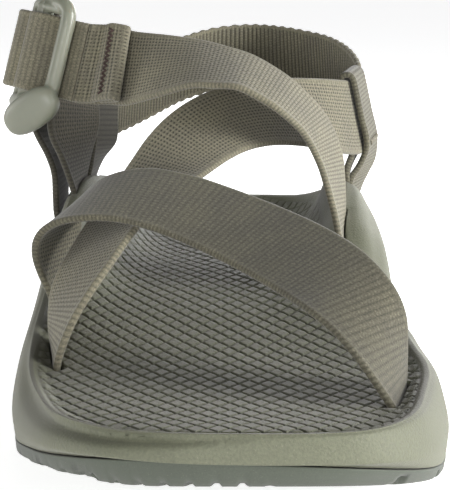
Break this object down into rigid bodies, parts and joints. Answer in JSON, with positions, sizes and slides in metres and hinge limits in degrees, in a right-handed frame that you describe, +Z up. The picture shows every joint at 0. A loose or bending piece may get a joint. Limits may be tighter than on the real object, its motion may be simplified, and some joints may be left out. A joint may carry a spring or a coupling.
{
  "type": "strappy sport sandal",
  "caption": "Right-foot open sport sandal: moulded footbed and treaded outsole, webbing straps laced through the sole over the forefoot, instep and heel, ladder-lock buckle.",
  "frame": {"origin": "on the ground under the middle of the sole, on the flat tread block there", "axes": "+X to the inner (medial) side, +Y from toe to heel, +Z up"},
  "size_m": [0.1279, 0.2894, 0.117],
  "materials": {
    "outsole_rubber": "matt",
    "midsole_foam": "matt speckled foam",
    "webbing": "woven",
    "buckle_nylon": "satin",
    "stitch_thread": "thread"
  },
  "bodies": {
    "sandal": {"outsole": "outsole_rubber", "midsole": "midsole_foam", "front_strap": "webbing", "forefoot_webbing_run": "webbing", "lower_instep_strap": "webbing", "heel_strap": "webbing", "upper_instep_strap": "webbing", "midfoot_webbing_run": "webbing", "medial_riser": "webbing", "lateral_riser": "webbing", "lateral_riser_rear_fold": "webbing", "heel_webbing_run": "webbing", "buckle_anchor_loop": "webbing", "anchor_stitching": "stitch_thread", "medial_riser_stitching": "stitch_thread", "lateral_riser_stitching": "stitch_thread"},
    "buckle": {"buckle_frame": "buckle_nylon", "buckle_strap_turn": "webbing"},
    "tail": {"strap_tail": "webbing", "tail_stitching": "stitch_thread"}
  },
  "joints": [
    {"name": "buckle_tilt", "type": "hinge", "parent": "sandal", "child": "buckle", "pos_m": [-0.06448, 0.03777, 0.09985], "axis": [-0.2401, -0.1001, -0.9656], "range_deg": [0, 35]},
    {"name": "tail_flap", "type": "hinge", "parent": "buckle", "child": "tail", "pos_m": [-0.0464, 0.02105, 0.09707], "axis": [-0.2401, -0.1001, -0.9656], "range_deg": [0, 60]}
  ]
}
